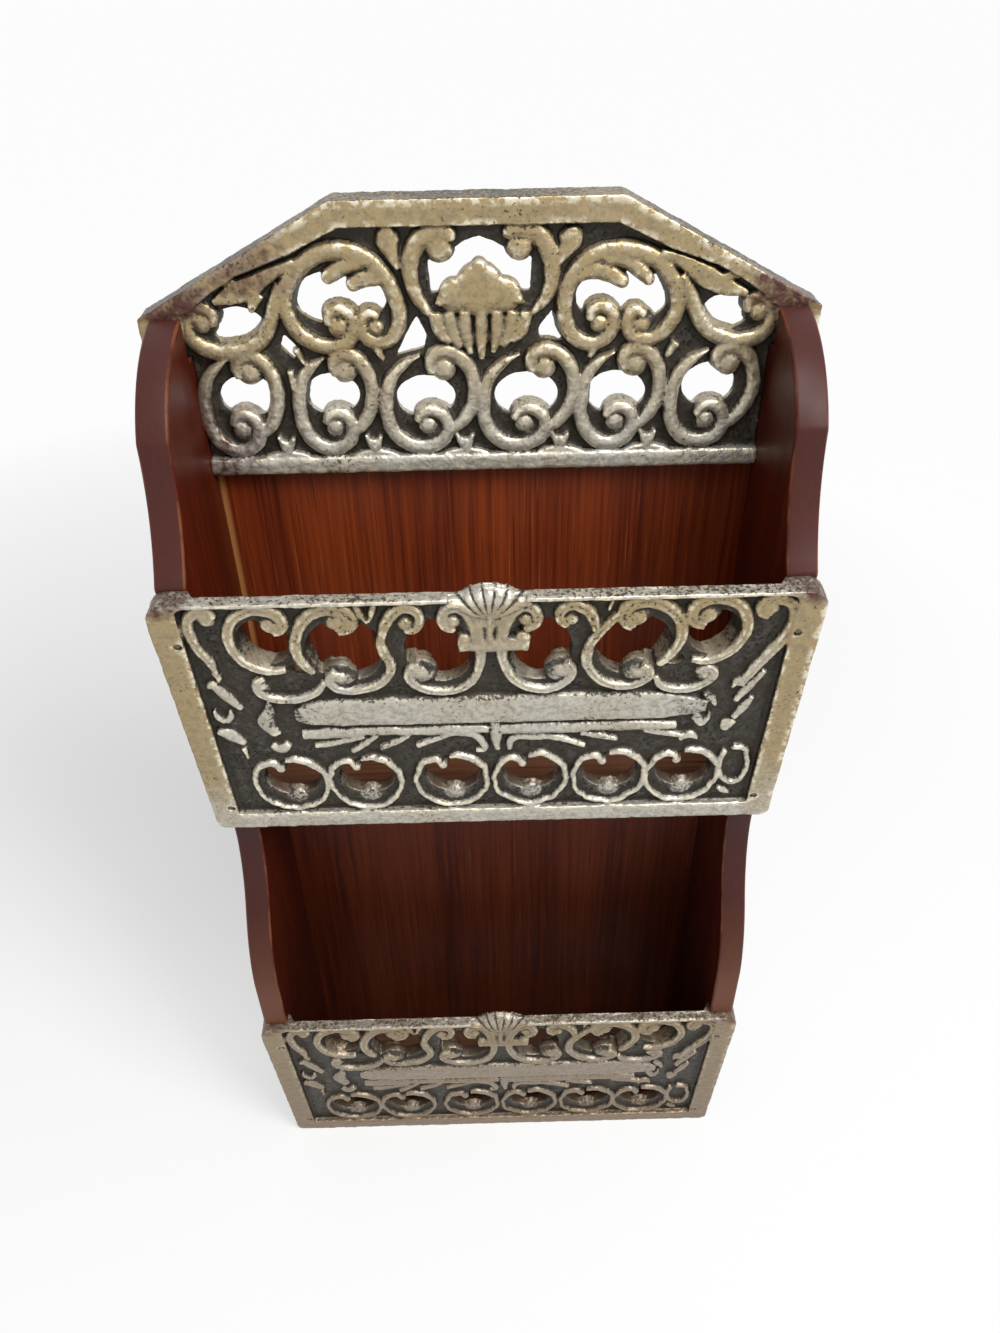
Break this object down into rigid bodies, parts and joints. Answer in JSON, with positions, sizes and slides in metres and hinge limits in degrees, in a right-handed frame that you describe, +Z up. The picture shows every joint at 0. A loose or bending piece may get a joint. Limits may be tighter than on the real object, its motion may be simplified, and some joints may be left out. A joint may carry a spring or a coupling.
{
  "type": "mail organizer",
  "caption": "Upright letter rack in dark stained wood with tiered pockets, pierced scrollwork cast fronts that lean outwards, and a gable-topped pierced crest.",
  "frame": {"origin": "middle of the rack's box at the surface it stands on", "axes": "+Z up, +Y to the back board, +X to the right seen from the front"},
  "size_m": [0.2314, 0.0772, 0.4717],
  "materials": {
    "stained_mahogany": "red-brown stain under gloss lacquer, vertical grain",
    "antiqued_casting": "cast, rubbed champagne silver on the high parts, black wash in the recesses",
    "dark_steel": "dull, darkened"
  },
  "bodies": {
    "root": {"left_side": "stained_mahogany", "right_side": "stained_mahogany", "back_board": "stained_mahogany", "upper_floor": "stained_mahogany", "lower_floor": "stained_mahogany", "upper_front": "antiqued_casting", "lower_front": "antiqued_casting", "crest": "antiqued_casting", "upper_front_brads": "dark_steel", "lower_front_brads": "dark_steel", "left_side_nails": "dark_steel", "right_side_nails": "dark_steel", "back_board_nails": "dark_steel", "crest_screws": "dark_steel"}
  },
  "joints": []
}
